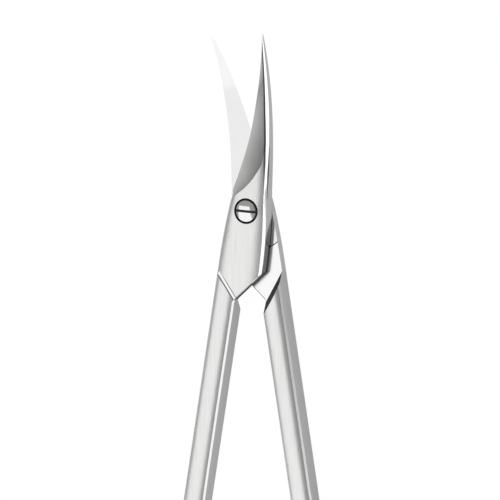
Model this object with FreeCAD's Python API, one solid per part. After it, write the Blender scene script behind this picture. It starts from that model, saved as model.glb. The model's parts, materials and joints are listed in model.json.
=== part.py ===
"""Cuticle scissors: two forged halves that turn on a slotted pivot screw.

Each half is drawn closed and flat in its own frame: pivot axis on Z, mating plane at
z = 0, tips to +Y, this half above the plane.  The back half is the same forging turned
over, with its blade bent the other way, so that both blades curve to the front.
"""
import math
import os

import FreeCAD, Part
from FreeCAD import Vector

# Overall sizes, in millimetres and degrees
blade_reach = 26.25         # pivot axis to tip, measured along the closed scissors
back_reach = 25.7           # the same for the back blade, whose tip is ground blunt
half_open_angle = 9.2       # each half from the centreline in the drawn pose
joint_depth = 4.2           # both halves together at the pivot
ride_gap = 0.04             # between the two mating faces
relief_depth = 0.05         # hollow of each mating face round the pivot and along the blade
relief_radius = 5.9         # where that hollow ends behind the pivot

# Joint block
joint_wall = 1.2            # upright side wall, up from the mating plane
joint_bevel = 0.38          # polished bevel round the block, seen from the front
crown_drop = 0.25           # fall of the crowned face from its middle to its bevel
crown_flat = 1.6            # width of the level strip along the middle
back_flat = 0.02            # depth ground off the back half's crown, where it rests
joint_outer = 3.3           # centreline to the outer side, behind the pivot
joint_inner = 3.68          # centreline to the inner side, behind the pivot
pivot_outer = 2.98          # the same two at the pivot
pivot_inner = 3.2
joint_widest = 8.0          # distance behind the pivot where those sides run parallel
tail_length = 13.15         # pivot to the point of the tail on the centreline
tail_angle = 36.7           # tail edge from the centreline
tail_radius = 3.0           # round corner between inner side and tail edge
shoulder_clearance = 0.2    # tail edge to the other half's shoulder when closed
shoulder_slope = 50.0       # shoulder face from the mating plane
step_distance = 8.3         # pivot to the front step, square to it
step_angle = 43.8           # direction of the step's normal from the centreline
step_slope = 30.0           # face of the step from the mating plane

# Blade
edge_land = 0.06            # thickness left along the cutting edge
tip_half_width = 0.09
tip_share = 0.09            # thickness left at the tip, as a share of the root's
blade_bevel = 0.75          # polished bevel along the spine at the root
spine_draft = 0.15          # lean of the spine wall at the root
ridge_height = 1.95         # ridge above the inner face at the root
bend_start = 6.5            # pivot to the start of the curve
bend_radius = 39.5
spine_hollow = 0.2          # how far the spine's side draws in at mid-blade
heel_swell = 0.75           # how far the cutting edge stands out at the heel past the wall above
swell_lead = 3.0            # length over which it comes out
swell_end = 11.0            # pivot to where it is gone
grind_heel = 1.0            # pivot to the heel of the ground facet
grind_full = 7.5            # pivot to where the facet has its full width
grind_sweep = 1.7           # how round the facet's heel is: 1 is a straight slant
grind_end = 10.0            # pivot to where the facet has taken the whole face
grind_margin = 0.5          # strip of face left beside the bevel at grind_full

# Shank
shank_width = 3.3
shank_depth = 3.36
shank_gap = 0.08            # between the two shanks when closed
shank_chamfer = 0.29
shank_crown = 0.14          # fall of the crowned faces from the middle to the chamfers

# Finger ring
ring_top = 47.0             # pivot to the top of the ring
finger_width = 20.5
finger_length = 23.0
ring_width = 3.0
ring_round = 1.35           # rounding of the ring's edges
crotch_radius = 4.0         # hollow between shank and ring

# Pivot screw
head_diameter = 3.3
head_clearance = 0.2        # round the head, in its counterbore
counterbore_depth = 0.85
head_rise = 0.12            # dome above the face
head_bevel = 0.18
slot_width = 0.44
slot_depth = 0.42
slot_angle = -2.0
bearing_diameter = 2.4
bearing_clearance = 0.03    # radial, in the front half's bore
seat_clearance = 0.03       # under the head
thread_diameter = 2.0       # its end is ground off flush with the back flat

block_height = joint_depth / 2
shank_half = shank_depth / 2
relief_level = ride_gap / 2 + relief_depth
shank_inner = -shank_gap / 2
shank_outer = shank_inner - shank_width
UP = Vector(0, 0, 1)

# Cutting stock, and where the lofted sections stand
margin = 0.3                # stock below the mating plane, cut away afterwards
far = 40.0                  # reach of the cutting blocks
overcut = 2.5               # reach of a cutter past the surface it leaves, in surface lengths
past_tip = 1.15             # reach of the curved cutter, in sweeps of the blade
ridge_overlap = 0.06        # how far the finished facet passes the ridge
block_stations = (-1.75, -1.375, -1.0, -0.5, 0.0)                   # in lengths of joint_widest
blade_stations = (0.06, 0.12, 0.24, 0.36, 0.5, 0.65, 0.8, 0.92, 1.0)   # in blade lengths
heel_stations = (0.0, 0.25, 0.5, 0.75, 1.0)                         # grind_heel to grind_full
facet_stations = (0.0, 0.18, 0.36, 0.52, 0.68, 0.84, 1.02)          # grind_full to the tip


def mix(a, b, share):
    return a + (b - a) * min(max(share, 0.0), 1.0)


def bezier(*points):
    curve = Part.BezierCurve()
    curve.setPoles([Vector(*p) for p in points])
    return curve.toShape()


def polygon(points):
    return Part.makePolygon([Vector(*p) for p in points] + [Vector(*points[0])])


# Blade, in its own bent frame

bend_sweep = math.asin((blade_reach - bend_start) / bend_radius)
blade_length = bend_start + bend_radius * bend_sweep


def bent(along, x, height, bend):
    """Place a section point at a distance along the blade, over the curved inner face."""
    turn = max(along - bend_start, 0.0) / bend_radius
    flat = min(along, bend_start)
    y = flat + (bend_radius - bend * height) * math.sin(turn)
    z = bend * bend_radius * (1 - math.cos(turn)) + height * math.cos(turn)
    return (x, y, z)


def taper(along):
    """Share of the root's thickness that is left at this distance along the blade."""
    share = min(max(along, 0.0) / blade_length, 1.0)
    return mix(tip_share, 1.0, math.sqrt(1 - share))


def outer_side(along):
    """Cutting side of the half: straight to the tip, a flat parabola behind the pivot."""
    if along >= 0:
        return -mix(pivot_outer, tip_half_width, along / blade_length)
    return -mix(joint_outer, pivot_outer, max(1 + along / joint_widest, 0.0) ** 2)


def inner_side(along):
    """Spine side of the half, drawn in along the blade."""
    if along >= 0:
        share = min(along / blade_length, 1.0)
        return mix(pivot_inner, tip_half_width, share) - spine_hollow * 4 * share * (1 - share)
    return mix(joint_inner, pivot_inner, max(1 + along / joint_widest, 0.0) ** 2)


def swell(along):
    """How far the cutting edge stands out past the outer side, most just ahead of the heel."""
    rise = min(max((along + swell_lead / 4) / swell_lead, 0.0), 1.0)
    fall = min(max((swell_end - along) / (swell_end - grind_heel), 0.0), 1.0)
    return heel_swell * rise * fall ** 1.5


def blade_share(along):
    """0 on the joint block, 1 where the section is wholly a blade's."""
    return min(max((along + joint_widest / 2) / (grind_full + joint_widest / 2), 0.0), 1.0)


def ridge(along):
    """Where the spine's bevel meets the face."""
    thin = taper(along)
    bevel = mix(joint_bevel, blade_bevel, blade_share(along)) * thin
    height = mix(block_height - crown_drop, ridge_height, blade_share(along)) * thin
    return inner_side(along) - bevel, height


def blank_section(along, bend):
    """Section of the forging before the facet is ground: walls, bevels and crowned face."""
    thin = taper(along)
    left, right = outer_side(along), inner_side(along)
    wall, top = joint_wall * thin, block_height * thin
    ridge_x, ridge_z = ridge(along)
    left_x = left + joint_bevel * thin
    middle = (left_x + ridge_x) / 2
    flat = min(crown_flat / 2, (ridge_x - left_x) / 4)
    lean = spine_draft * blade_share(along) * thin
    top = max(top, ridge_z)
    low_x = left - swell(along) * (1 + margin / wall)
    corners = [
        ((low_x, -margin), (left, wall)),
        ((left, wall), (left_x, ridge_z)),
        ((left_x, ridge_z), ((left_x + middle - flat) / 2, top), (middle - flat, top)),
        ((middle - flat, top), (middle + flat, top)),
        ((middle + flat, top), ((ridge_x + middle + flat) / 2, top), (ridge_x, ridge_z)),
        ((ridge_x, ridge_z), (right - lean, wall)),
        ((right - lean, wall), (right, -margin)),
        ((right, -margin), (low_x, -margin)),
    ]
    return Part.Wire([bezier(*(bent(along, x, z, bend) for x, z in edge)) for edge in corners])


def blank(bend):
    """The forging's block and blade in one smooth loft."""
    behind = [joint_widest * share for share in block_stations]
    ahead = [blade_length * share for share in blade_stations]
    return Part.makeLoft([blank_section(along, bend) for along in behind + ahead], True, False)


def facet_section(along, bend):
    """Section of what the grinding takes away: all above a line up from the cutting edge."""
    left = outer_side(along) - swell(along)
    ridge_x, ridge_z = ridge(along)
    full = ridge_x - left
    spare = mix(grind_margin, -ridge_overlap, (along - grind_full) / (grind_end - grind_full))
    runout = max(grind_full - along, 0.0) / (grind_full - grind_heel)
    width = (full - spare) * (1 - runout ** grind_sweep) + edge_land / 2
    rise = max(ridge_z, block_height * taper(along) * (along < grind_full)) - edge_land
    length = math.hypot(width, rise)
    step_x, step_z = width / length, rise / length
    low = (left - step_x, edge_land - step_z)
    high = (left + width * overcut, edge_land + rise * overcut)
    cap = block_height * overcut
    back_x, top = low[0] - cap, high[1] + cap
    points = [low, high, (high[0], top), (back_x, top), (back_x, low[1])]
    return polygon([bent(along, x, z, bend) for x, z in points])


def facet(bend):
    """What the grinding takes, as two lofts: the round heel, and from there to the tip."""
    heel = [grind_heel + (grind_full - grind_heel) * share for share in heel_stations]
    rest = [grind_full + (blade_length - grind_full) * share for share in facet_stations]
    runs = [[facet_section(along, bend) for along in run] for run in (heel, rest)]
    return [Part.makeLoft(sections, True, False) for sections in runs]


def under_surface(level, start, bend):
    """All that lies below the inner face, raised by level, ahead of a start."""
    radius = bend_radius - bend * level
    centre_z = bend * bend_radius

    def on_arc(turn):
        return (0, bend_start + radius * math.sin(turn), centre_z - bend * radius * math.cos(turn))

    end = on_arc(bend_sweep * past_tip)
    floor = -far
    edges = [
        Part.LineSegment(Vector(0, start, floor), Vector(0, start, level)).toShape(),
        Part.LineSegment(Vector(0, start, level), Vector(0, bend_start, level)).toShape(),
        Part.Arc(Vector(0, bend_start, level), Vector(*on_arc(bend_sweep / 2)), Vector(*end)).toShape(),
        Part.LineSegment(Vector(*end), Vector(0, end[1], floor)).toShape(),
        Part.LineSegment(Vector(0, end[1], floor), Vector(0, start, floor)).toShape(),
    ]
    face = Part.Face(Part.Wire(edges))
    face.translate(Vector(-far, 0, 0))
    return face.extrude(Vector(2 * far, 0, 0))


# Joint block and shank

tail_out = Vector(math.cos(math.radians(tail_angle)), -math.sin(math.radians(tail_angle)), 0)
tail_along = Vector(-tail_out.y, tail_out.x, 0)
tail_offset = tail_out.dot(Vector(0, -tail_length, 0))
step_out = Vector(-math.cos(math.radians(step_angle)), -math.sin(math.radians(step_angle)), 0)
step_along = Vector(-step_out.y, step_out.x, 0)


def swept_profile(outward, along, profile):
    """A profile of (distance outward, height) points, swept both ways along a line."""
    points = [outward * distance - along * far + UP * height for distance, height in profile]
    return Part.Face(Part.makePolygon(points + points[:1])).extrude(along * 2 * far)


def tail_outline(inset, height):
    """Edge of the cut that shapes the tail: straight edge, round corner, and the scrap side."""
    radius = tail_radius - inset
    centre_x = joint_inner + ride_gap - tail_radius
    centre_y = (tail_out.x * centre_x - tail_offset + tail_radius) / -tail_out.y
    centre = Vector(centre_x, centre_y, height)
    touch = centre + tail_out * radius
    side = centre + Vector(radius, 0, 0)
    half_turn = math.radians(-tail_angle / 2)
    middle = centre + Vector(math.cos(half_turn), math.sin(half_turn), 0) * radius
    foot = touch - tail_along * tail_length
    scrap = Vector(far, side.y, height)
    low = Vector(far, foot.y, height)
    return Part.Wire([
        Part.LineSegment(foot, touch).toShape(),
        Part.Arc(touch, middle, side).toShape(),
        Part.LineSegment(side, scrap).toShape(),
        Part.LineSegment(scrap, low).toShape(),
        Part.LineSegment(low, foot).toShape(),
    ])


def tail_cut():
    """The tail's upright wall, and the bevel above it."""
    lower = Part.Face(tail_outline(0, -far)).extrude(UP * (far + joint_wall))
    bevel_height = block_height - crown_drop - joint_wall
    above = tail_outline(overcut * joint_bevel, joint_wall + overcut * bevel_height)
    return lower.fuse(Part.makeLoft([tail_outline(0, joint_wall), above], True, True))


def step_cut():
    """What is cut away behind the block's step, down to the shank's face."""
    run = 1 / math.tan(math.radians(step_slope))
    top = 2 * block_height
    foot = step_distance + (block_height - shank_half) * run
    end = foot + shank_chamfer
    return swept_profile(step_out, step_along, [
        (step_distance - (top - block_height) * run, top), (foot, shank_half),
        (end, shank_half - shank_crown), (end, -far), (far, -far), (far, top)])


def shoulder_cut():
    """What is cut from the shank above its shoulder, below the mating plane."""
    outward = Vector(-tail_out.x, tail_out.y, 0)
    along = Vector(-outward.y, outward.x, 0)
    start = tail_offset + shoulder_clearance
    run = 1 / math.tan(math.radians(shoulder_slope))
    level = ride_gap / 2
    return swept_profile(outward, along, [
        (-far, level), (start, level), (start + run * (shank_depth + level), -shank_depth),
        (-far, -shank_depth)])


def bar_section(y, left, right, half, cut, crown, rounded):
    """Closed section across a bar: sides, corners cut flat or round, and crowned faces."""
    edge, middle = half - crown, (left + right) / 2
    wall = edge - cut

    def corner(side_x, face_x, sign):
        start, end = (side_x, sign * wall), (face_x, sign * edge)
        pull = (side_x, sign * edge) if rounded else ((side_x + face_x) / 2, sign * (wall + edge) / 2)
        return start, pull, end

    def face(sign):
        return (left + cut, sign * edge), (middle, sign * (half + crown)), (right - cut, sign * edge)

    edges = [
        ((left, -wall), (left, 0), (left, wall)),
        corner(left, left + cut, 1),
        face(1),
        corner(right, right - cut, 1)[::-1],
        ((right, wall), (right, 0), (right, -wall)),
        corner(right, right - cut, -1),
        face(-1)[::-1],
        corner(left, left + cut, -1)[::-1],
    ]
    return Part.Wire([bezier(*((x, y, z) for x, z in edge)) for edge in edges])


def shank_section(y):
    return bar_section(y, shank_outer, shank_inner, shank_half, shank_chamfer, shank_crown, False)


def shank():
    """Straight bar from inside the block to the neck, cut to the shoulder and the step."""
    bar = Part.Face(shank_section(-joint_widest)).extrude(Vector(0, neck_y + joint_widest, 0))
    inside = step_distance + (block_height - shank_half) / 2
    above_step = swept_profile(step_out, step_along, [(-far, 0), (inside, 0), (inside, far), (-far, far)])
    return bar.cut(shoulder_cut()).cut(above_step)


# Finger ring

ring_radius = finger_width / 2 + ring_width
ring_x = shank_inner - ring_radius
ring_high = -ring_top - ring_radius
ring_low = ring_high - (finger_length - finger_width)
crotch_x = shank_outer - crotch_radius
crotch_y = ring_high + math.sqrt((ring_radius + crotch_radius) ** 2 - (crotch_x - ring_x) ** 2)
neck_y = crotch_y + shank_chamfer


def ring_section(y):
    """Section of the ring where it runs on from the shank: a bar with round edges."""
    return bar_section(y, shank_inner - ring_width, shank_inner, block_height, ring_round, 0.0, True)


def neck():
    """The shank swells smoothly into the ring's section."""
    return Part.makeLoft([shank_section(neck_y), ring_section(ring_high)], True, True)


def finger_ring():
    """Two half turns joined by two straight sides."""
    section = Part.Face(ring_section(ring_high))
    high, low = Vector(ring_x, ring_high, 0), Vector(ring_x, ring_low, 0)
    side = section.extrude(low - high)
    other = side.copy()
    other.rotate(Vector(ring_x, (ring_high + ring_low) / 2, 0), UP, 180)
    lower = Part.Face(ring_section(ring_low))
    return section.revolve(high, UP, 180).fuse([side, other, lower.revolve(low, UP, -180)])


def crotch():
    """Web that fills the corner between shank and ring with a round hollow."""
    meet = math.atan2(crotch_y - ring_high, crotch_x - ring_x)

    def on_ring(radius, angle):
        return Vector(ring_x + radius * math.cos(angle), ring_high + radius * math.sin(angle), 0)

    middle_angle = (meet - math.pi) / 2
    centre = Vector(crotch_x, crotch_y, 0)
    middle = centre + Vector(math.cos(middle_angle), math.sin(middle_angle), 0) * crotch_radius
    shank_side = Vector(shank_outer, crotch_y, 0)
    inside = shank_side + Vector(shank_width / 2, 0, 0)
    core = ring_radius - ring_width / 2
    knee = on_ring(core, meet / 2)
    low_inside = Vector(inside.x, knee.y, 0)
    edge = on_ring(ring_radius, meet)
    arc = Part.Arc(edge, middle, shank_side).toShape()
    rest = Part.makePolygon([shank_side, inside, low_inside, knee, on_ring(core, meet), edge])
    plan = Part.Face(Part.Wire([arc] + rest.Edges))
    level = shank_half - shank_crown - shank_chamfer
    plan.translate(UP * -level)
    return plan.extrude(UP * 2 * level)


# Whole halves and the screw

def half(bend):
    """One forging, bent to the front (1) or to the back (-1), ground and hollowed."""
    block = blank(bend)
    for ground in facet(bend):
        block = block.cut(ground)
    block = block.cut(under_surface(ride_gap / 2, -far, bend))
    block = block.cut(tail_cut()).cut(step_cut())
    hollow = under_surface(relief_level, 0.0, bend)
    disc = Part.makeCylinder(relief_radius, far, Vector(0, 0, relief_level - far))
    block = block.cut(hollow).cut(disc)
    return block.fuse([shank(), neck(), finger_ring(), crotch()]).removeSplitter()


def drawn(shape, angle):
    """Turn a half about the pivot to the drawn pose and lift it off the resting plane."""
    placed = shape.copy()
    placed.rotate(Vector(0, 0, 0), UP, angle)
    placed.translate(UP * block_height)
    return placed


def bore(diameter, low, high):
    return Part.makeCylinder(diameter / 2, high - low, Vector(0, 0, low))


seat_level = block_height - counterbore_depth
flat_level = block_height - back_flat


def front_half():
    """Carries the screw's head in a counterbore and turns on its bearing."""
    body = half(1)
    body = body.cut(bore(bearing_diameter + 2 * bearing_clearance, -far, far))
    body = body.cut(bore(head_diameter + 2 * head_clearance, seat_level, far))
    return drawn(body, -half_open_angle)


def back_half():
    """Holds the screw's threaded end, and has a blunt tip and a flat on its back to rest on."""
    body = half(-1)
    body = body.cut(Part.makeBox(far, far, far, Vector(-far / 2, back_reach, -far / 2)))
    body = body.cut(Part.makeBox(2 * far, ring_top + far, far, Vector(-far, -ring_top, flat_level)))
    body = body.cut(bore(thread_diameter, -far, far))
    body.rotate(Vector(0, 0, 0), Vector(0, 1, 0), 180)
    return drawn(body, half_open_angle)


def pivot_screw():
    """Turned about Z: threaded end, bearing, and a domed head with a bevelled rim."""
    end, foot = -flat_level, -relief_level
    under = seat_level + seat_clearance
    rim = block_height - head_bevel
    thread, bearing, head = thread_diameter / 2, bearing_diameter / 2, head_diameter / 2
    top = block_height + head_rise
    shoulder = head - head_bevel
    outline = [(0, end), (thread, end), (thread, foot), (bearing, foot), (bearing, under),
               (head, under), (head, rim), (shoulder, block_height)]
    sides = Part.makePolygon([Vector(x, 0, z) for x, z in outline])
    dome = bezier((shoulder, 0, block_height), (shoulder / 2, 0, top), (0, 0, top))
    axis = Part.LineSegment(Vector(0, 0, top), Vector(0, 0, end)).toShape()
    solid = Part.Face(Part.Wire(sides.Edges + [dome, axis])).revolve(Vector(0, 0, 0), UP, 360)
    floor = top - slot_depth
    corner = Vector(-head_diameter, -slot_width / 2, floor)
    slot = Part.makeBox(2 * head_diameter, slot_width, far, corner)
    slot.rotate(Vector(0, 0, 0), UP, slot_angle)
    return drawn(solid.cut(slot), 0)


def main():
    os.makedirs("parts", exist_ok=True)
    pieces = {"front_half": front_half(), "back_half": back_half(), "pivot_screw": pivot_screw()}
    for name, shape in pieces.items():
        solid = shape.Solids[0]
        print(name, "solids", len(shape.Solids), "valid", solid.isValid(), "volume %.2f" % solid.Volume)
        solid.exportStep("parts/%s.step" % name)


main()
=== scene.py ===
import json
import math
from types import SimpleNamespace

import bmesh
import bpy
import numpy as np
from mathutils import Matrix


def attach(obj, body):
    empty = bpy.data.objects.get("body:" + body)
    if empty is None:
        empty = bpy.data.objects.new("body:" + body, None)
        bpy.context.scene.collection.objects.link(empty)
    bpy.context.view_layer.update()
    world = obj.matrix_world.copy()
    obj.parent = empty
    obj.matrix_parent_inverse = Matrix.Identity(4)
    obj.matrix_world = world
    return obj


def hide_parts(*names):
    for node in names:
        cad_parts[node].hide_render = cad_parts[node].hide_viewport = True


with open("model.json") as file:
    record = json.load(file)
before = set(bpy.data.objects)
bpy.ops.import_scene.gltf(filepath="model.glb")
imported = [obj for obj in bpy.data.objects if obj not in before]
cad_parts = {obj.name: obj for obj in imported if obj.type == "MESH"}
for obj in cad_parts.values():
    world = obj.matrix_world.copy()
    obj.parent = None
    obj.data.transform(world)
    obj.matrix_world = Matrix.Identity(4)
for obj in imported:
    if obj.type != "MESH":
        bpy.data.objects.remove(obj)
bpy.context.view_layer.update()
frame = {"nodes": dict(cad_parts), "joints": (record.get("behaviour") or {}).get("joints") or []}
print("frame loaded:", ", ".join(sorted(frame["nodes"])))

mm = 0.001                                                 # sizes below are millimetres, the scene is metres
pivotJoint = frame["joints"][0]
halfAngle = math.radians(-pivotJoint["range_deg"][0] / 2)  # each half from the centreline, as photographed
blockHeight = pivotJoint["pos_m"][2] / mm                  # mating plane above the table
far = 40.0                                                 # reach of the cutting tools
tiny = 1e-9                                                # keeps divisions away from zero
weldGap = 1e-5                                             # points nearer than this become one
sliver = 1e-6                                              # edges shorter than this are taken out
sharpAngle = math.radians(16)                              # edges past this stay crisp
counts = {"circle": 144, "arc": 25, "dome": 24, "halfRing": 73, "bar": 12, "neck": 16,
          "barSide": 3, "barCorner": 9, "barFace": 21}     # points along each curve

# finishes, in the order of the material slots, and stand-ins that the joining keeps apart
finishNames = ("Satin", "Polished", "Ground", "Side", "Mating", "Hollow", "PaintedDarkShade", "Raw")
satin, polished, ground, side, mating, hollow, paintedDarkShade, paintedShade = range(len(finishNames))
stock = [bpy.data.materials.new("stock" + finish) for finish in finishNames]


# Mesh tools

fullTurn = np.linspace(0.0, 2 * math.pi, counts["circle"], endpoint=False)
circle = np.stack([np.cos(fullTurn), np.sin(fullTurn)], axis=-1)


def gridFaces(rowCount, columnCount, wrapRows):
    # quads between neighbouring rows and columns of a grid of points; the columns wrap round
    rowIndex = np.arange(rowCount if wrapRows else rowCount - 1)
    r, c = np.meshgrid(rowIndex, np.arange(columnCount), indexing="ij")
    nextRow = (r + 1) % rowCount
    nextColumn = (c + 1) % columnCount
    corners = (r * columnCount + c, r * columnCount + nextColumn,
               nextRow * columnCount + nextColumn, nextRow * columnCount + c)
    return np.stack(corners, axis=-1).reshape(-1, 4)


def solidFromGrid(name, points, kinds, wrapRows=False, capKind=side):
    # rows of points become a closed skin: columns wrap round, open ends get a cap
    rowCount, columnCount = points.shape[:2]
    faces = gridFaces(rowCount, columnCount, wrapRows)
    strips = rowCount if wrapRows else rowCount - 1
    faceKinds = np.broadcast_to(kinds, (strips, columnCount)).reshape(-1)
    caps = []
    if not wrapRows:
        caps = [list(range(columnCount)), list(range((rowCount - 1) * columnCount, rowCount * columnCount))]
    mesh = bpy.data.meshes.new(name)
    for material in stock:
        mesh.materials.append(material)
    mesh.from_pydata(points.reshape(-1, 3).tolist(), [], faces.tolist() + caps)
    capKinds = np.full(len(caps), capKind)
    mesh.polygons.foreach_set("material_index", np.concatenate([faceKinds, capKinds]).astype(np.int32))
    build = bmesh.new()
    build.from_mesh(mesh)
    bmesh.ops.remove_doubles(build, verts=build.verts, dist=weldGap)
    bmesh.ops.dissolve_degenerate(build, edges=build.edges, dist=sliver)
    bmesh.ops.recalc_face_normals(build, faces=build.faces)
    build.to_mesh(mesh)
    build.free()
    piece = bpy.data.objects.new(name, mesh)
    bpy.context.scene.collection.objects.link(piece)
    return piece


def joinSolids(base, tools, operation):
    # cut the tools out of the base, or weld them on, one after another
    for tool in tools:
        step = base.modifiers.new(operation, "BOOLEAN")
        step.operation = operation
        step.solver = "EXACT"
        step.object = tool
        made = bpy.data.meshes.new_from_object(base.evaluated_get(bpy.context.evaluated_depsgraph_get()))
        base.modifiers.clear()
        old = base.data
        base.data = made
        bpy.data.meshes.remove(old)
        bpy.data.objects.remove(tool)
    return base


def pointsOf(mesh):
    # all vertices as one array
    points = np.empty(len(mesh.vertices) * 3)
    mesh.vertices.foreach_get("co", points)
    return points.reshape(-1, 3)


def placed(outward, along, profile, reach):
    # a profile of (distance outward, height), carried both ways along a straight line
    points = np.array([[outward[0] * d, outward[1] * d, z] for d, z in profile])
    step = np.array([along[0], along[1], 0.0]) * reach
    return np.stack([points - step, points + step])


def stacked(rows):
    # plan outlines, each lifted to its own height
    return np.stack([np.column_stack([outline, np.full(len(outline), z)]) for outline, z in rows])


def between(start, end, count):
    # straight run of points from start to end, one row for each station
    share = np.linspace(0.0, 1.0, count)
    return start[:, None] + (end - start)[:, None] * share


def bend2(start, pull, end, count):
    # quadratic curve from start to end, drawn towards pull
    t = np.linspace(0.0, 1.0, count)
    return start[..., None] * (1 - t) ** 2 + pull[..., None] * 2 * t * (1 - t) + end[..., None] * t ** 2


def mix(a, b, share):
    # a at share 0, b at share 1, and no further either way
    return a + (b - a) * np.clip(share, 0.0, 1.0)


# Blade and joint block

blade = {
    "reach": 26.25, "backReach": 25.7,                     # pivot to tip, front and back
    "bendStart": 6.5, "bendRadius": 39.5,                  # straight, then an arc towards the front
    "tipHalfWidth": 0.09, "tipShare": 0.09,                # width and thickness left at the tip
    "tipLean": 1.4, "tipSlant": 0.9,                       # length and slope of the back blade's blunt end
    "spineHollow": 0.2,                                    # the spine draws in at mid-blade
    "heelSwell": 0.75, "swellAtPivot": 0.25, "swellLead": 3.0,   # the cutting edge stands out at its heel
    "swellFull": 1.0, "swellEnd": 11.0, "swellFade": 1.5,
    "bevel": 0.78, "bevelGrows": 3.0, "bevelFull": 15.0,   # polished bevel along the spine
    "wall": 1.1, "draft": 0.22, "wallRound": 0.08,         # spine wall, its lean and its upper edge
    "creaseAt": 6.0, "creaseReach": 3.8, "creaseSwell": 1.6,
    "ridgeHeight": 1.95, "ridgeStrip": 0.24, "ridgeLeast": 0.12, "ridgeStart": 3.0, "ridgeEnd": 0.95,
    "roundShare": 0.4,                                     # most of a face that strip and rounding take
    "edgeLand": 0.06, "leastLand": 0.01, "facetBulge": 0.022,
    "grindHeel": 0.4, "grindFull": 7.35, "grindEnd": 10.0, "grindSweep": 1.25, "grindMargin": 0.5,
    "heelLift": 4.0, "overlap": 0.06,
}
block = {
    "wall": 1.38, "draft": 0.06, "bevel": 0.33,
    "crownDrop": 0.25, "crownFlat": 1.2, "crownMiddle": 0.45,    # crowned face: fall, level strip, its place
    "backFlat": 0.02, "back": 14.0,
    "outer": 3.3, "inner": 3.68, "pivotOuter": 2.98, "pivotInner": 3.2, "widest": 8.0,
    "rideGap": 0.04, "reliefDepth": 0.05, "reliefRadius": 5.9, "reliefRim": 0.14,
    "hollowStart": 4.0, "hollowRamp": 2.0,                 # where the inner face falls to the relief
    "edgeBreak": 0.15, "contact": 4.7,
    "tailLength": 13.15, "tailAngle": math.radians(38.2), "tailRadius": 1.2, "tailLean": 0.45,
    "shoulderClearance": 0.2, "shoulderSlope": math.radians(55.0),
    "stepDistance": 8.38, "stepAngle": math.radians(43.8), "stepSlope": math.radians(30.0),
    "stepDrop": 0.21, "stepStrip": 0.36, "stripSlope": math.radians(6.0), "creaseShare": 0.4,
}
stations = {"behind": 60, "heel": 80, "tip": 130, "crowding": 1.5}   # sections along a half
columns = {"facet": 26, "lean": 6, "leftBevel": 5, "crown": 44, "strip": 3, "bevel": 4, "round": 6,
           "wall": 5, "inner": 12}                         # points across each run of a section
halvings = 48                                              # steps that close in on the end of the grinding
reliefLevel = block["rideGap"] / 2 + block["reliefDepth"]


def lengthToReach(reach):
    # straight part, then the arc that comes this far forward
    sweep = math.asin((reach - blade["bendStart"]) / blade["bendRadius"])
    return blade["bendStart"] + blade["bendRadius"] * sweep


bladeLength = lengthToReach(blade["reach"])


def bladeStations(reach):
    # dense where the facet runs out at its heel, closer and closer towards the tip
    behind = np.linspace(-block["back"], blade["grindHeel"], stations["behind"])
    heel = np.linspace(blade["grindHeel"], blade["grindFull"], stations["heel"])
    toTip = 1 - (1 - np.linspace(0.0, 1.0, stations["tip"])) ** stations["crowding"]
    tip = blade["grindFull"] + (lengthToReach(reach) - blade["grindFull"]) * toTip
    return np.unique(np.concatenate([behind, heel, tip]))


def bladePlan(along):
    # sides narrow evenly to the tip; the spine draws in by a parabola, its wall leans in under a bevel,
    # the cutting edge swells at its heel, and the thickness falls with the square root of what is left
    share = np.clip(along / bladeLength, 0.0, 1.0)
    thin = mix(blade["tipShare"], 1.0, np.sqrt(1 - share))
    rear = np.clip(1 + along / block["widest"], 0.0, 1.0) ** 2
    ahead = along >= 0
    outer = np.where(ahead, mix(block["pivotOuter"], blade["tipHalfWidth"], share),
                     mix(block["outer"], block["pivotOuter"], rear))
    inner = np.where(ahead, mix(block["pivotInner"], blade["tipHalfWidth"], share),
                     mix(block["inner"], block["pivotInner"], rear))
    left = -outer
    right = inner - blade["spineHollow"] * 4 * share * (1 - share)
    comesOut = np.clip(along / blade["swellLead"] + blade["swellAtPivot"], 0.0, 1.0)
    goesIn = np.clip((blade["swellEnd"] - along) / (blade["swellEnd"] - blade["swellFull"]), 0.0, 1.0)
    edge = left - blade["heelSwell"] * comesOut * goesIn ** blade["swellFade"]
    widens = (along - blade["bevelGrows"]) / (blade["bevelFull"] - blade["bevelGrows"])
    wallX = right - mix(block["draft"], blade["draft"], 1 + along / block["widest"]) * thin
    ridgeX = wallX - mix(block["bevel"], blade["bevel"], widens) * thin
    leftX = left + block["bevel"] * thin
    halfBack = block["widest"] / 2
    rises = (along + halfBack) / (blade["grindFull"] + halfBack)
    ridgeZ = mix(blockHeight - block["crownDrop"], blade["ridgeHeight"], rises) * thin
    bottom = mix(block["rideGap"] / 2, reliefLevel, (along + block["hollowStart"]) / block["hollowRamp"])
    return SimpleNamespace(
        along=along, share=share, thin=thin, edge=edge, left=left, right=right,
        leftX=leftX, ridgeX=ridgeX, wallX=wallX, ridgeZ=ridgeZ, bottom=bottom,
        wall=mix(block["wall"], blade["wall"], widens) * thin,
        top=np.maximum(blockHeight * thin, ridgeZ),
        middle=leftX + (ridgeX - leftX) * block["crownMiddle"],
        flat=np.minimum(block["crownFlat"] / 2, (ridgeX - leftX) / 4),
        land=np.maximum(blade["edgeLand"], bottom + blade["leastLand"]))


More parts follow.
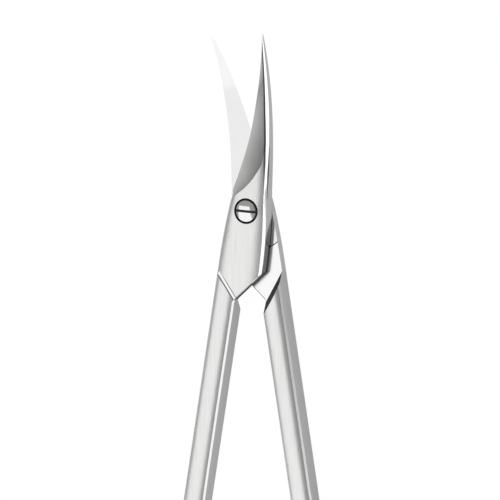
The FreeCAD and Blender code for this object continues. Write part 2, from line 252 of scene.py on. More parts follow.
def forgingHeight(plan, x):
    # height of the unground forging at x: lean, bevel up, parabola, level strip, parabola, bevel down
    sizes = (plan.edge, plan.left, plan.leftX, plan.ridgeX, plan.wallX,
             plan.wall, plan.ridgeZ, plan.top, plan.middle, plan.flat)
    edge, left, leftX, ridgeX, wallX, wall, ridgeZ, top, middle, flat = (
        size.reshape(size.shape + (1,) * (x.ndim - 1)) for size in sizes)
    rise = np.clip((x - leftX) / (middle - flat - leftX), 0.0, 1.0)
    fall = np.clip((ridgeX - x) / (ridgeX - middle - flat), 0.0, 1.0)
    crown = top - (top - ridgeZ) * np.maximum(1 - rise, 1 - fall) ** 2
    climb = wall + (ridgeZ - wall) * (x - left) / (leftX - left)
    drop = ridgeZ + (wall - ridgeZ) * (x - ridgeX) / (wallX - ridgeX)
    lean = wall * (x - edge) / np.maximum(left - edge, tiny)
    return np.where(x < left, lean, np.where(x < leftX, climb, np.where(x <= ridgeX, crown, drop)))


def grindFacet(plan):
    # the grinding takes all above a straight line up from the cutting edge; halving finds where the two meet
    along, edge, land = plan.along, plan.edge, plan.land
    done = (along - blade["grindFull"]) / (blade["grindEnd"] - blade["grindFull"])
    spare = mix(blade["grindMargin"], -blade["overlap"], done)
    runout = np.clip((blade["grindFull"] - along) / (blade["grindFull"] - blade["grindHeel"]), 0.0, 1.0)
    width = (plan.ridgeX - edge - spare) * (1 - runout ** blade["grindSweep"]) + blade["edgeLand"] / 2
    rise = mix(plan.ridgeZ, plan.top, runout * blade["heelLift"]) - land
    low, high = edge.copy(), plan.wallX.copy()
    for halving in range(halvings):
        x = (low + high) / 2
        above = land + rise * (x - edge) / width > forgingHeight(plan, x)
        low = np.where(above, low, x)
        high = np.where(above, x, high)
    isGround = along >= blade["grindHeel"]
    cutX = np.where(isGround, high, edge)
    cutZ = np.where(isGround, np.maximum(forgingHeight(plan, high), land), land)
    return cutX, cutZ


def bladeRuns(plan, cutX, cutZ, crease):
    # one section per station, as runs of (name, finish, x, height) round it from the cutting edge
    along, edge, right, wallX = plan.along, plan.edge, plan.right, plan.wallX
    land, bottom, wall = plan.land, plan.bottom, plan.wall

    # a narrow strip along the ridge, taken mostly from the bevel
    tapers = (along - blade["ridgeStart"]) / (blade["grindFull"] - blade["ridgeStart"])
    strip = blade["ridgeStrip"] * np.sqrt(plan.thin) * np.clip(tapers, blade["ridgeLeast"], 1.0)
    radius = strip / 2
    crownWidth = np.maximum(plan.ridgeX - cutX, 0.0)
    hasCrown = (crownWidth >= radius)[:, None]
    trim = np.minimum(np.clip(radius - crownWidth, 0.0, None), (cutX - edge) / 4)
    slant = np.maximum(np.hypot(cutX - edge, cutZ - land), tiny)
    facetX = cutX - trim * (cutX - edge) / slant
    facetZ = cutZ - trim * (cutZ - land) / slant
    cornerX = np.maximum(plan.ridgeX, cutX)
    cornerZ = forgingHeight(plan, cornerX)
    bevelLength = np.hypot(wallX - cornerX, wall - cornerZ)
    stripShare = np.minimum(strip / bevelLength, blade["roundShare"])
    nearX = mix(cornerX, wallX, stripShare)
    nearZ = mix(cornerZ, wall, stripShare)

    # the bevel rounds over into the wall, most of all at the crease
    rounding = blade["wallRound"] * (1 + blade["creaseSwell"] * crease) * plan.thin
    bevelShare = np.minimum(rounding / bevelLength, blade["roundShare"])
    wallShare = np.minimum(rounding / (wall - bottom), blade["roundShare"])
    farX = mix(wallX, cornerX, bevelShare)
    farZ = mix(wall, cornerZ, bevelShare)
    downX = mix(wallX, right, wallShare)
    downZ = mix(wall, bottom, wallShare)

    def unground(start, end, count):
        # a run of the forging's own outline, or nothing where the grinding has passed it
        xs = between(np.maximum(start, cutX), np.maximum(end, cutX), count)
        zs = np.maximum(forgingHeight(plan, xs), land[:, None])
        return np.where(hasCrown, xs, facetX[:, None]), np.where(hasCrown, zs, facetZ[:, None])

    n = columns
    across = np.linspace(0.0, 1.0, n["facet"])
    bulge = blade["facetBulge"] * (slant * (1 - plan.share / 2))[:, None] * across * (1 - across) * 4
    crownX, crownZ = unground(plan.leftX, plan.ridgeX - radius, n["crown"])
    return [
        ("land", side, between(edge, edge, 2), between(bottom, land, 2)),
        ("facet", ground, between(edge, facetX, n["facet"]), between(land, facetZ, n["facet"]) + bulge),
        ("lean", side, *unground(edge, plan.left, n["lean"])),
        ("leftBevel", polished, *unground(plan.left, plan.leftX, n["leftBevel"])),
        ("crown", satin, crownX, crownZ),
        ("strip", polished, between(crownX[:, -1], nearX, n["strip"]),
         between(crownZ[:, -1], nearZ, n["strip"])),
        ("bevel", polished, between(nearX, farX, n["bevel"]), between(nearZ, farZ, n["bevel"])),
        ("round", side, bend2(farX, wallX, downX, n["round"]), bend2(farZ, wall, downZ, n["round"])),
        ("wall", side, between(downX, right, n["wall"]), between(downZ, bottom, n["wall"])),
        ("inner", mating, between(right, edge, n["inner"]), between(bottom, bottom, n["inner"])),
    ]


def bladeRows(bend):
    # blade and joint block: sections worked out flat, then bent like a hoop
    along = bladeStations(blade["reach"] if bend > 0 else blade["backReach"])
    plan = bladePlan(along)
    cutX, cutZ = grindFacet(plan)
    crease = np.clip(1 - np.abs(along - blade["creaseAt"]) / blade["creaseReach"], 0.0, 1.0)
    runs = bladeRuns(plan, cutX, cutZ, crease)
    x = np.concatenate([run[2] for run in runs], axis=1)
    height = np.concatenate([run[3] for run in runs], axis=1)
    kinds = np.concatenate([np.full(run[2].shape[1], run[1]) for run in runs])
    kinds = np.broadcast_to(kinds, (len(along) - 1, len(kinds))).copy()
    ends = np.cumsum([run[2].shape[1] for run in runs])
    end = {run[0]: int(last) for run, last in zip(runs, ends)}

    # the inner face is hollow from hollowStart on; painted shade goes on the strip along the ridge, the
    # crease and the foot of the wall behind the contact
    start = along[:-1]
    kinds[(kinds == mating) & (start[:, None] > -block["hollowStart"])] = hollow
    onRidge = (start > blade["ridgeStart"]) & (plan.share[:-1] < blade["ridgeEnd"])
    kinds[onRidge, end["crown"]:end["strip"]] = paintedShade
    kinds[crease[:-1] > 0, end["bevel"] + 1:end["round"] - 1] = paintedShade
    kinds[start < -block["contact"], end["wall"] - 2:end["wall"]] = paintedShade
    if bend < 0:
        height = np.minimum(height, blockHeight - block["backFlat"])

    # straight up to bendStart, then on an arc of bendRadius
    turn = np.maximum(along - blade["bendStart"], 0.0)[:, None] / blade["bendRadius"]
    straight = np.minimum(along, blade["bendStart"])[:, None]
    y = straight + (blade["bendRadius"] - bend * height) * np.sin(turn)
    z = bend * blade["bendRadius"] * (1 - np.cos(turn)) + height * np.cos(turn)
    if bend < 0:                                           # the blunt end falls back towards the outer face
        nearEnd = np.clip((along - along[-1]) / blade["tipLean"] + 1, 0.0, 1.0)[:, None]
        y = y - blade["tipSlant"] * height * nearEnd
    return np.stack([x, y, z], axis=-1), kinds, (along, plan.edge, cutX)


# Tail, step and shoulder of the joint

tailOut = np.array([math.cos(block["tailAngle"]), -math.sin(block["tailAngle"])])
tailAlong = np.array([-tailOut[1], tailOut[0]])
tailOffset = -tailOut[1] * block["tailLength"]
stepOut = -np.array([math.cos(block["stepAngle"]), math.sin(block["stepAngle"])])
stepAlong = np.array([-stepOut[1], stepOut[0]])


def tailOutline(inset):
    # straight tail edge, then an arc into the inner side, closed round the scrap
    corner = block["tailRadius"]
    centreX = block["inner"] + block["rideGap"] - corner
    centre = np.array([centreX, (tailOut[0] * centreX - tailOffset + corner) / -tailOut[1]])
    angles = np.linspace(-block["tailAngle"], 0.0, counts["arc"])
    arc = centre + (corner - inset) * np.stack([np.cos(angles), np.sin(angles)], axis=-1)
    foot = arc[0] - tailAlong * block["tailLength"]
    return np.vstack([foot, arc, [far, arc[-1, 1]], [far, foot[1]]])


def tailTool():
    # broken lower edge, upright wall, then a bevel that leans in at the side and along the tail; the edge
    # and the wall get painted shade
    overcut = 2.5                                          # the tool's bevel, in heights of the real one
    bevelHeight = blockHeight - block["crownDrop"] - block["wall"]
    level = block["rideGap"] / 2
    upper = tailOutline(0) - overcut * np.array([block["bevel"], block["tailLean"]])
    rows = stacked([(tailOutline(block["edgeBreak"]), -far), (tailOutline(block["edgeBreak"]), level),
                    (tailOutline(0), level + block["edgeBreak"]), (tailOutline(0), block["wall"]),
                    (upper, block["wall"] + overcut * bevelHeight)])
    return solidFromGrid("tailTool", rows, np.array([[side], [paintedDarkShade], [paintedDarkShade], [polished]]))


def stepTool():
    # a short sharp drop, a nearly level strip, a slope down to the shank; the drop and the lower slope get
    # painted shade
    topLevel = 2 * blockHeight
    drop = block["stepDrop"]
    brink = block["stepDistance"] + drop
    strip = brink + block["stepStrip"]
    stripLevel = blockHeight - drop - block["stepStrip"] * math.tan(block["stripSlope"])
    foot = strip + (stripLevel - shank["half"]) / math.tan(block["stepSlope"])
    creaseDistance = strip + (foot - strip) * block["creaseShare"]
    creaseLevel = stripLevel + (shank["half"] - stripLevel) * block["creaseShare"]
    end = foot + shank["chamfer"]
    profile = [(block["stepDistance"] - topLevel + blockHeight, topLevel), (brink, blockHeight - drop),
               (strip, stripLevel), (creaseDistance, creaseLevel), (foot, shank["half"]),
               (end, shank["half"] - shank["crown"]),
               (end, -far), (far, -far), (far, topLevel)]
    kinds = np.array([[paintedShade, polished, side, paintedShade, satin, side, side, side, side]])
    return solidFromGrid("stepTool", placed(stepOut, stepAlong, profile, far), kinds)


def shoulderTool():
    # room for the other half's tail: level under the joint, then a steep slope away from it; the slope gets
    # painted shade
    outward = np.array([-tailOut[0], tailOut[1]])
    along = np.array([-outward[1], outward[0]])
    start = tailOffset + block["shoulderClearance"]
    level = block["rideGap"] / 2
    run = 1 / math.tan(block["shoulderSlope"])
    deep = 2 * shank["half"]
    profile = [(-far, level), (start, level), (start + run * (deep + level), -deep), (-far, -deep)]
    kinds = np.array([[side, paintedDarkShade, side, side]])
    return solidFromGrid("shoulderTool", placed(outward, along, profile, far), kinds)


def aboveStepTool():
    # trims the shank where it would stand out above the step
    inside = block["stepDistance"] + (blockHeight - shank["half"]) / 2
    profile = [(-far, 0.0), (inside, 0.0), (inside, far), (-far, far)]
    return solidFromGrid("aboveStepTool", placed(stepOut, stepAlong, profile, far), side)


def roundTool(name, radius, low, high, kind):
    # upright cylinder about the pivot
    rows = stacked([(circle * radius, low), (circle * radius, high)])
    return solidFromGrid(name, rows, kind, capKind=kind)


def reliefTool():
    # shallow round hollow about the pivot with a sloping rim, which gets painted shade
    wide = circle * (block["reliefRadius"] + block["reliefRim"])
    narrow = circle * block["reliefRadius"]
    rows = stacked([(wide, -far), (wide, block["rideGap"] / 2), (narrow, reliefLevel)])
    return solidFromGrid("relief", rows, paintedShade, capKind=hollow)


# Shank and finger ring

shank = {"width": 3.3, "half": 1.68, "gap": 0.08, "chamfer": 0.25, "crown": 0.16}
ring = {"top": 47.0, "fingerWidth": 20.5, "fingerLength": 23.0, "width": 3.0, "round": 1.35, "crotch": 4.0,
        "neckInset": 0.04}
shankInner = -shank["gap"] / 2
shankOuter = shankInner - shank["width"]
ringRadius = ring["fingerWidth"] / 2 + ring["width"]
ringX = shankInner - ringRadius
ringHigh = -ring["top"] - ringRadius
ringLow = ringHigh - (ring["fingerLength"] - ring["fingerWidth"])
crotchX = shankOuter - ring["crotch"]
crotchY = ringHigh + math.sqrt((ringRadius + ring["crotch"]) ** 2 - (crotchX - ringX) ** 2)
neckY = crotchY + shank["chamfer"]


def barSection(left, right, half, cut, crown, rounded):
    # section across a bar as (x, z): sides, corners cut flat or round, faces crowned to a parabola
    edge = half - crown
    wall = edge - cut
    middle = (left + right) / 2

    def corner(sideX, faceX, sign):
        # from side to face; a flat corner has its pull half way
        pull = (sideX, sign * edge) if rounded else ((sideX + faceX) / 2, sign * (wall + edge) / 2)
        return (sideX, sign * wall), pull, (faceX, sign * edge)

    def face(sign):
        # from left to right, the pull twice as high as the crown
        return (left + cut, sign * edge), (middle, sign * (half + crown)), (right - cut, sign * edge)

    # finish, count of points, then start, pull and end of each curve
    edges = [
        (side, "barSide", ((left, -wall), (left, 0.0), (left, wall))),
        (satin, "barCorner", corner(left, left + cut, 1)),
        (satin, "barFace", face(1)),
        (satin, "barCorner", corner(right, right - cut, 1)[::-1]),
        (side, "barSide", ((right, wall), (right, 0.0), (right, -wall))),
        (satin, "barCorner", corner(right, right - cut, -1)),
        (satin, "barFace", face(-1)[::-1]),
        (satin, "barCorner", corner(left, left + cut, -1)[::-1]),
    ]
    curves = [bend2(*(np.array(p) for p in points), counts[run])[:, :-1] for kind, run, points in edges]
    kinds = np.concatenate([np.full(counts[run] - 1, kind) for kind, run, points in edges])
    return np.concatenate(curves, axis=1).T, kinds


def shankSolid():
    # straight bar, then a neck that swells into the ring's section and ends inside the ring
    inset = ring["neckInset"]
    start, kinds = barSection(shankOuter, shankInner, shank["half"],
                              shank["chamfer"], shank["crown"], False)
    end = barSection(shankInner - ring["width"] + inset, shankInner - inset, blockHeight - inset,
                     ring["round"], 0.0, True)[0]
    bar = np.linspace(-block["widest"], neckY, counts["bar"])
    neck = np.linspace(neckY, ringHigh, counts["neck"])
    along = np.concatenate([bar, neck[1:]])
    swell = np.clip((along - neckY) / (ringHigh - neckY), 0.0, 1.0)[:, None, None]
    section = start + (end - start) * swell
    y = np.broadcast_to(along[:, None], section.shape[:2])
    return solidFromGrid("shank", np.stack([section[..., 0], y, section[..., 1]], axis=-1), kinds)


def ringSolid():
    # the bar's section carried round an oval: two half circles and two straight sides
    section, kinds = barSection(0.0, ring["width"], blockHeight, ring["round"], 0.0, True)
    upper = np.linspace(0.0, math.pi, counts["halfRing"])
    angles = np.concatenate([upper, upper + math.pi])
    centreY = np.where(np.arange(len(angles)) < len(upper), ringHigh, ringLow)
    radius = ringRadius - ring["width"] + section[:, 0]
    x = ringX + np.cos(angles)[:, None] * radius
    y = centreY[:, None] + np.sin(angles)[:, None] * radius
    z = np.broadcast_to(section[:, 1], x.shape)
    return solidFromGrid("ring", np.stack([x, y, z], axis=-1), kinds, wrapRows=True)


def crotchSolid():
    # web between shank and ring, with a round hollow
    meet = math.atan2(crotchY - ringHigh, crotchX - ringX)
    core = ringRadius - ring["width"] / 2
    angles = np.linspace(meet - math.pi, 0.0, counts["arc"])
    around = np.stack([np.cos(angles), np.sin(angles)], axis=-1)
    arc = np.array([crotchX, crotchY]) + ring["crotch"] * around
    insideX = shankOuter + shank["width"] / 2
    knee = [ringX + core * math.cos(meet / 2), ringHigh + core * math.sin(meet / 2)]
    deep = [ringX + core * math.cos(meet), ringHigh + core * math.sin(meet)]
    plan = np.vstack([arc, [insideX, crotchY], [insideX, knee[1]], knee, deep])
    level = shank["half"] - shank["crown"] - shank["chamfer"]
    return solidFromGrid("crotch", stacked([(plan, -level), (plan, level)]), side)


# Pivot screw

screw = {"head": 3.3, "clearance": 0.2, "counterbore": 0.85, "rise": 0.19, "bevel": 0.13,
         "slotWidth": 0.37, "slotDepth": 0.42, "slotAngle": math.radians(-2.0),
         "bearing": 2.4, "play": 0.03, "thread": 2.0}


def screwSolid():
    # half outline turned about the pivot axis: thread, bearing, head with a bevelled rim, dome
    head = screw["head"] / 2
    bearing = screw["bearing"] / 2
    thread = screw["thread"] / 2
    under = blockHeight - screw["counterbore"] + screw["play"]
    shoulder = head - screw["bevel"]
    topLevel = blockHeight + screw["rise"]
    rim = np.array([shoulder, blockHeight])
    dome = bend2(rim, np.array([shoulder / 2, topLevel]), np.array([0.0, topLevel]), counts["dome"]).T
    end = -blockHeight + block["backFlat"]
    body = [[0.0, end], [thread, end], [thread, -reliefLevel], [bearing, -reliefLevel], [bearing, under],
            [head, under], [head, blockHeight - screw["bevel"]]]
    outline = np.vstack([body, dome])
    plan = circle[:, None, :] * outline[:, :1]
    z = np.broadcast_to(outline[:, 1:], (*plan.shape[:2], 1))
    kinds = np.full(len(outline), polished)
    kinds[:len(body)] = paintedDarkShade                             # painted shade on all but the dome
    solid = solidFromGrid("screw", np.concatenate([plan, z], axis=-1), kinds, wrapRows=True)
    across = np.array([-math.sin(screw["slotAngle"]), math.cos(screw["slotAngle"])])
    floor = topLevel - screw["slotDepth"]
    half = screw["slotWidth"] / 2
    profile = [(-half, floor), (half, floor), (half, far), (-half, far)]
    reach = placed(across, np.array([across[1], -across[0]]), profile, 2 * head)
    # painted shade in the slot
    slot = solidFromGrid("slot", reach, paintedDarkShade, capKind=paintedDarkShade)
    return joinSolids(solid, [slot], "DIFFERENCE")


# Materials

satinGrain = {"stretch": (1.0, 0.06, 1.0), "scale": 6000.0, "strength": 0.3, "depth": 0.000004,
              "cloud": 0.07, "cloudScale": 2400.0}
fineGrain = {"stretch": (1.0, 0.1, 1.0), "scale": 7000.0, "strength": 0.1, "depth": 0.000002,
             "cloud": 0.03, "cloudScale": 1500.0}
fineness = {"lines": 3.0, "cloud": 4.0, "streaks": 5.0}    # layers of smaller and smaller noise
gloss = {"low": 0.3, "high": 0.7, "spread": 0.15}          # the lines' range, and what it does to roughness
# painted light and shade across the ground facet: the lit tone at the cutting edge, the painted shade tone
# where the grinding ends
facet = {"litTone": (0.80, 0.795, 0.785), "shadedTone": (0.41, 0.405, 0.40),
         "streak": 0.3, "streakScale": 2600.0, "narrowest": 0.05}
finishes = {
    "Satin": {"colour": (0.76, 0.76, 0.755), "roughness": 0.2, "grain": satinGrain},
    "Polished": {"colour": (0.84, 0.84, 0.835), "roughness": 0.08, "grain": fineGrain},
    "Ground": {"colour": facet["litTone"], "roughness": 0.17, "grain": satinGrain},
    "Side": {"colour": (0.72, 0.725, 0.725), "roughness": 0.2, "grain": satinGrain},
    "Mating": {"colour": (0.88, 0.88, 0.88), "roughness": 0.18, "grain": fineGrain},
    "Hollow": {"colour": (0.77, 0.77, 0.77), "roughness": 0.12, "grain": fineGrain},
    # painted shade: a black steel laid in the bores, the screw's body and slot, the tail wall and the
    # shoulder slope
    "PaintedDarkShade": {"colour": (0.08, 0.08, 0.08), "roughness": 0.5, "grain": fineGrain},
    # painted shade: a near-black steel laid on the ridge strip, the crease, the foot of the wall, the step
    # and the relief rim
    "Raw": {"colour": (0.14, 0.14, 0.14), "roughness": 0.35, "grain": satinGrain},
}


def steel(name, turn, colour, roughness, grain):
    # bare steel with fine lines along the piece: they tilt the surface a little and vary its gloss
    material = bpy.data.materials.new(name)
    material.use_nodes = True
    nodes = material.node_tree.nodes
    links = material.node_tree.links
    shader = nodes["Principled BSDF"]
    shader.inputs["Base Color"].default_value = (*colour, 1.0)   # for viewers that skip the nodes
    shader.inputs["Metallic"].default_value = 1.0
    place = nodes.new("ShaderNodeTexCoord")
    mapping = nodes.new("ShaderNodeMapping")
    mapping.inputs["Rotation"].default_value = (0.0, 0.0, turn)
    mapping.inputs["Scale"].default_value = grain["stretch"]
    lines = nodes.new("ShaderNodeTexNoise")
    lines.inputs["Scale"].default_value = grain["scale"]
    lines.inputs["Detail"].default_value = fineness["lines"]
    shine = nodes.new("ShaderNodeMapRange")
    shine.inputs["From Min"].default_value = gloss["low"]
    shine.inputs["From Max"].default_value = gloss["high"]
    shine.inputs["To Min"].default_value = roughness * (1 - gloss["spread"])
    shine.inputs["To Max"].default_value = roughness * (1 + gloss["spread"])
    cloud = nodes.new("ShaderNodeTexNoise")
    cloud.inputs["Scale"].default_value = grain["cloudScale"]
    cloud.inputs["Detail"].default_value = fineness["cloud"]
    tint = nodes.new("ShaderNodeMix")
    tint.data_type = "RGBA"
    tint.inputs["A"].default_value = (*(c * (1 - grain["cloud"]) for c in colour), 1.0)
    tint.inputs["B"].default_value = (*(c * (1 + grain["cloud"]) for c in colour), 1.0)
    bump = nodes.new("ShaderNodeBump")
    bump.inputs["Strength"].default_value = grain["strength"]
    bump.inputs["Distance"].default_value = grain["depth"]
    links.new(place.outputs["Object"], mapping.inputs["Vector"])
    links.new(mapping.outputs["Vector"], lines.inputs["Vector"])
    links.new(mapping.outputs["Vector"], cloud.inputs["Vector"])
    links.new(cloud.outputs["Fac"], tint.inputs["Factor"])
    links.new(tint.outputs["Result"], shader.inputs["Base Color"])
    links.new(lines.outputs["Fac"], shine.inputs["Value"])
    links.new(shine.outputs["Result"], shader.inputs["Roughness"])
    links.new(lines.outputs["Fac"], bump.inputs["Height"])
    links.new(bump.outputs["Normal"], shader.inputs["Normal"])
    return material


def acrossFacet(points, bend, facetEdges):
    # 0 at the cutting edge and 1 where the grinding ends, from the place along the unbent blade
    turn = np.arctan2(points[:, 1] - blade["bendStart"], blade["bendRadius"] - bend * points[:, 2])
    along = np.where(turn > 0, blade["bendStart"] + blade["bendRadius"] * turn, points[:, 1])
    stationsAlong, edges, cuts = facetEdges
    edge = np.interp(along, stationsAlong, edges)
    cutX = np.interp(along, stationsAlong, cuts)
    return np.clip((points[:, 0] - edge) / np.maximum(cutX - edge, facet["narrowest"]), 0.0, 1.0)


def shadeFacet(material):
    # ground facet with painted light and shade: lit at the cutting edge, painted shade where the grinding
    # ends; streaks shift the mix
    nodes = material.node_tree.nodes
    links = material.node_tree.links
    across = nodes.new("ShaderNodeAttribute")
    across.attribute_name = "across"
    streaks = nodes.new("ShaderNodeTexNoise")
    streaks.inputs["Scale"].default_value = facet["streakScale"]
    streaks.inputs["Detail"].default_value = fineness["streaks"]
    centred = nodes.new("ShaderNodeMath")
    centred.operation = "SUBTRACT"
    centred.inputs[1].default_value = 0.5
    facetShade = nodes.new("ShaderNodeMath")
    facetShade.operation = "MULTIPLY_ADD"
    facetShade.use_clamp = True
    facetShade.inputs[1].default_value = facet["streak"]
    tone = nodes.new("ShaderNodeMix")
    tone.data_type = "RGBA"
    tone.inputs["A"].default_value = (*facet["litTone"], 1.0)
    tone.inputs["B"].default_value = (*facet["shadedTone"], 1.0)
    links.new(nodes["Mapping"].outputs["Vector"], streaks.inputs["Vector"])
    links.new(streaks.outputs["Fac"], centred.inputs[0])
    links.new(centred.outputs[0], facetShade.inputs[0])
    links.new(across.outputs["Fac"], facetShade.inputs[2])
    links.new(facetShade.outputs[0], tone.inputs["Factor"])
    links.new(tone.outputs["Result"], nodes["Principled BSDF"].inputs["Base Color"])


def halfMaterials(name, turn):
    # one steel for each finish, in the order of the slots, its lines turned to run along the piece
    made = [steel(name + finish, turn, **finishes[finish]) for finish in finishNames]
    shadeFacet(made[ground])
    return made


# The three pieces

def halfSolid(name, bend):
    # blade and block with their cuts, welded to the shank and its ring
    rows, kinds, facetEdges = bladeRows(bend)
    piece = solidFromGrid(name, rows, kinds, capKind=polished)
    joinSolids(piece, [tailTool(), stepTool(), reliefTool()], "DIFFERENCE")
    handle = joinSolids(shankSolid(), [shoulderTool(), aboveStepTool()], "DIFFERENCE")
    joinSolids(handle, [ringSolid(), crotchSolid()], "UNION")
    joinSolids(piece, [handle], "UNION")
    across = piece.data.attributes.new("across", "FLOAT", "POINT")
    across.data.foreach_set("value", acrossFacet(pointsOf(piece.data), bend, facetEdges))
    return piece


def finishPiece(piece, turn, angle, materials):
    # turned over if it is the back half, opened to the photographed angle, lifted off the table, made metres
    mesh = piece.data
    x, y, z = (pointsOf(mesh) * np.array([turn, 1.0, turn])).T
    c, s = math.cos(angle), math.sin(angle)
    spun = np.column_stack([x * c - y * s, x * s + y * c, z + blockHeight])
    mesh.vertices.foreach_set("co", (spun * mm).reshape(-1))
    for kind, material in enumerate(materials):
        mesh.materials[kind] = material
    mesh.polygons.foreach_set("use_smooth", np.ones(len(mesh.polygons), dtype=bool))
    mesh.set_sharp_from_angle(angle=sharpAngle)
    mesh.update()


frontHalf = halfSolid("frontHalf", 1)
sinkRadius = screw["head"] / 2 + screw["clearance"]
# bore and counterbore walls get painted shade
holes = [roundTool("bore", screw["bearing"] / 2 + screw["play"], -far, far, paintedDarkShade),
         roundTool("counterbore", sinkRadius, blockHeight - screw["counterbore"], far, paintedDarkShade)]
joinSolids(frontHalf, holes, "DIFFERENCE")
finishPiece(frontHalf, 1.0, -halfAngle, halfMaterials("front", halfAngle))
print("front half:", len(frontHalf.data.polygons), "faces")

backHalf = halfSolid("backHalf", -1)
joinSolids(backHalf, [roundTool("threadHole", screw["thread"] / 2, -far, far, side)], "DIFFERENCE")
finishPiece(backHalf, -1.0, halfAngle, halfMaterials("back", -halfAngle))
print("back half:", len(backHalf.data.polygons), "faces")

pivotScrew = screwSolid()
pivotScrew.name = "pivotScrew"
finishPiece(pivotScrew, 1.0, 0.0, halfMaterials("screw", 0.0))
print("pivot screw:", len(pivotScrew.data.polygons), "faces")

for material in stock:
    bpy.data.materials.remove(material)
for piece, body, node, slotName in ((frontHalf, "front", "front_half", "satin_steel"),
                                    (backHalf, "back", "back_half", "satin_steel"),
                                    (pivotScrew, "back", "pivot_screw", "polished_steel")):
    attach(piece, body)
    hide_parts(node)


# Floor, light and camera

view = {"yaw": math.radians(25.2), "pitch": math.radians(7.6), "pixelsPerMm": 7.0, "image": 500.0,
        "pivotPixel": (245.7, 211.2), "lens": 500.0, "sensor": 36.0, "nearest": 0.01}
table = {"half": 3.0, "grey": 0.85, "glow": 1.08,
         "toCamera": 0.9, "toMetal": 0.25}                 # share of glow; reflections keep the shadow
panels = {                                                 # angles in degrees, sizes in metres
    "overheadStrip": {"yaw": -28.0, "pitch": -30.0, "distance": 0.6,
                      "width": 0.4, "length": 0.84, "radiance": 0.73},
    "tailPanel": {"yaw": -40.0, "pitch": -54.0, "distance": 0.6,
                  "width": 0.44, "length": 0.4, "radiance": 0.11},
    "rightPanel": {"yaw": 79.0, "pitch": -25.0, "distance": 0.7,
                   "width": 0.5, "length": 0.7, "radiance": 0.84},
}
studio = {"walls": 0.62, "ceiling": 0.36, "ceilingFrom": 0.6,
          "patch": 0.3, "patchOuter": math.radians(31.0), "patchInner": math.radians(17.0)}


def wayTo(yaw, pitch):
    # unit vector: upright, turned to the right by yaw and towards the tips by pitch
    return np.array([math.sin(yaw) * math.cos(pitch), math.sin(pitch), math.cos(yaw) * math.cos(pitch)])


def aimed(name, data, rightward, upward, backward, spot):
    # lamp or camera at a spot, looking against backward
    thing = bpy.data.objects.new(name, data)
    bpy.context.scene.collection.objects.link(thing)
    turn = np.column_stack([rightward, upward, backward, spot])
    thing.matrix_world = Matrix([*turn.tolist(), [0.0, 0.0, 0.0, 1.0]])
    return thing


def makeCamera():
    # long lens, turned to the right of the front face's normal and towards the tips
    backward = wayTo(view["yaw"], view["pitch"])
    rightward = np.array([math.cos(view["yaw"]), 0.0, -math.sin(view["yaw"])])
    upward = np.cross(backward, rightward)
    centre = view["image"] / 2
    aim = np.array([0.0, 0.0, 2 * blockHeight])
    aim = aim + rightward * (centre - view["pivotPixel"][0]) / view["pixelsPerMm"]
    aim = aim - upward * (centre - view["pivotPixel"][1]) / view["pixelsPerMm"]
    distance = view["image"] / view["pixelsPerMm"] * view["lens"] / view["sensor"]
    data = bpy.data.cameras.new("camera")
    data.lens = view["lens"]
    data.sensor_width = view["sensor"]
    data.clip_start = view["nearest"]
    spot = (aim + backward * distance) * mm
    bpy.context.scene.camera = aimed("camera", data, rightward, upward, backward, spot)


def makeFloor():
    # one pale square that glows for the camera, less for the metal, and is plain for the rest
    half = table["half"]
    corners = [(-half, -half, 0), (half, -half, 0), (half, half, 0), (-half, half, 0)]
    mesh = bpy.data.meshes.new("floor")
    mesh.from_pydata(corners, [], [(0, 1, 2, 3)])
    floor = bpy.data.objects.new("floor", mesh)
    bpy.context.scene.collection.objects.link(floor)
    material = bpy.data.materials.new("paleFloor")
    material.use_nodes = True
    nodes = material.node_tree.nodes
    links = material.node_tree.links
    nodes.clear()
    diffuse = nodes.new("ShaderNodeBsdfDiffuse")
    diffuse.inputs["Color"].default_value = (table["grey"], table["grey"], table["grey"], 1.0)
    glow = nodes.new("ShaderNodeEmission")
    glow.inputs["Strength"].default_value = table["glow"]
    rays = nodes.new("ShaderNodeLightPath")
    seen = nodes.new("ShaderNodeMath")
    seen.operation = "MULTIPLY"
    seen.inputs[1].default_value = table["toCamera"]
    mirrored = nodes.new("ShaderNodeMath")
    mirrored.operation = "MULTIPLY_ADD"
    mirrored.inputs[1].default_value = table["toMetal"]
    blend = nodes.new("ShaderNodeMixShader")
    out = nodes.new("ShaderNodeOutputMaterial")
    links.new(rays.outputs["Is Camera Ray"], seen.inputs[0])
    links.new(rays.outputs["Is Glossy Ray"], mirrored.inputs[0])
    links.new(seen.outputs[0], mirrored.inputs[2])
    links.new(mirrored.outputs[0], blend.inputs["Fac"])
    links.new(diffuse.outputs[0], blend.inputs[1])
    links.new(glow.outputs[0], blend.inputs[2])
    links.new(blend.outputs[0], out.inputs["Surface"])
    mesh.materials.append(material)


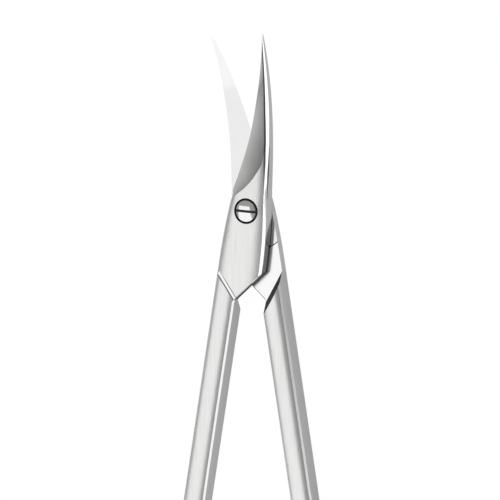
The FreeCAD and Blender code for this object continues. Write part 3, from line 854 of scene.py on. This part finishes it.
def softbox(name, yaw, pitch, distance, width, length, radiance):
    # a lit panel that faces the scissors from a direction
    data = bpy.data.lights.new(name, "AREA")
    data.shape = "RECTANGLE"
    data.size = width
    data.size_y = length
    data.energy = radiance * width * length * math.pi
    away = wayTo(math.radians(yaw), math.radians(pitch))
    acrossWay = np.array([math.cos(math.radians(yaw)), 0.0, -math.sin(math.radians(yaw))])
    aimed(name, data, acrossWay, np.cross(away, acrossWay), away, away * distance)


def makeWorld():
    # grey studio walls, with a dark patch where the camera and its stand would be
    world = bpy.data.worlds.new("studio")
    bpy.context.scene.world = world
    world.use_nodes = True
    nodes = world.node_tree.nodes
    links = world.node_tree.links
    backdrop = nodes["Background"]
    backdrop.inputs["Color"].default_value = (1.0, 1.0, 1.0, 1.0)
    way = nodes.new("ShaderNodeTexCoord")
    facing = nodes.new("ShaderNodeVectorMath")
    facing.operation = "DOT_PRODUCT"
    facing.inputs[1].default_value = wayTo(view["yaw"], view["pitch"]).tolist()
    patch = nodes.new("ShaderNodeMapRange")
    patch.interpolation_type = "SMOOTHSTEP"
    patch.inputs["From Min"].default_value = math.cos(studio["patchOuter"])
    patch.inputs["From Max"].default_value = math.cos(studio["patchInner"])
    patch.inputs["To Min"].default_value = 1.0
    patch.inputs["To Max"].default_value = studio["patch"]
    height = nodes.new("ShaderNodeSeparateXYZ")
    walls = nodes.new("ShaderNodeMapRange")
    walls.interpolation_type = "SMOOTHSTEP"
    walls.inputs["From Max"].default_value = studio["ceilingFrom"]
    walls.inputs["To Min"].default_value = studio["walls"]
    walls.inputs["To Max"].default_value = studio["ceiling"]
    level = nodes.new("ShaderNodeMath")
    level.operation = "MULTIPLY"
    links.new(way.outputs["Generated"], facing.inputs[0])
    links.new(way.outputs["Generated"], height.inputs[0])
    links.new(facing.outputs["Value"], patch.inputs["Value"])
    links.new(height.outputs["Z"], walls.inputs["Value"])
    links.new(patch.outputs["Result"], level.inputs[0])
    links.new(walls.outputs["Result"], level.inputs[1])
    links.new(level.outputs[0], backdrop.inputs["Strength"])


makeCamera()
makeFloor()
for name, panel in panels.items():
    softbox(name, **panel)
makeWorld()
bpy.context.scene.view_settings.view_transform = "Standard"
print("camera, floor and light ready")
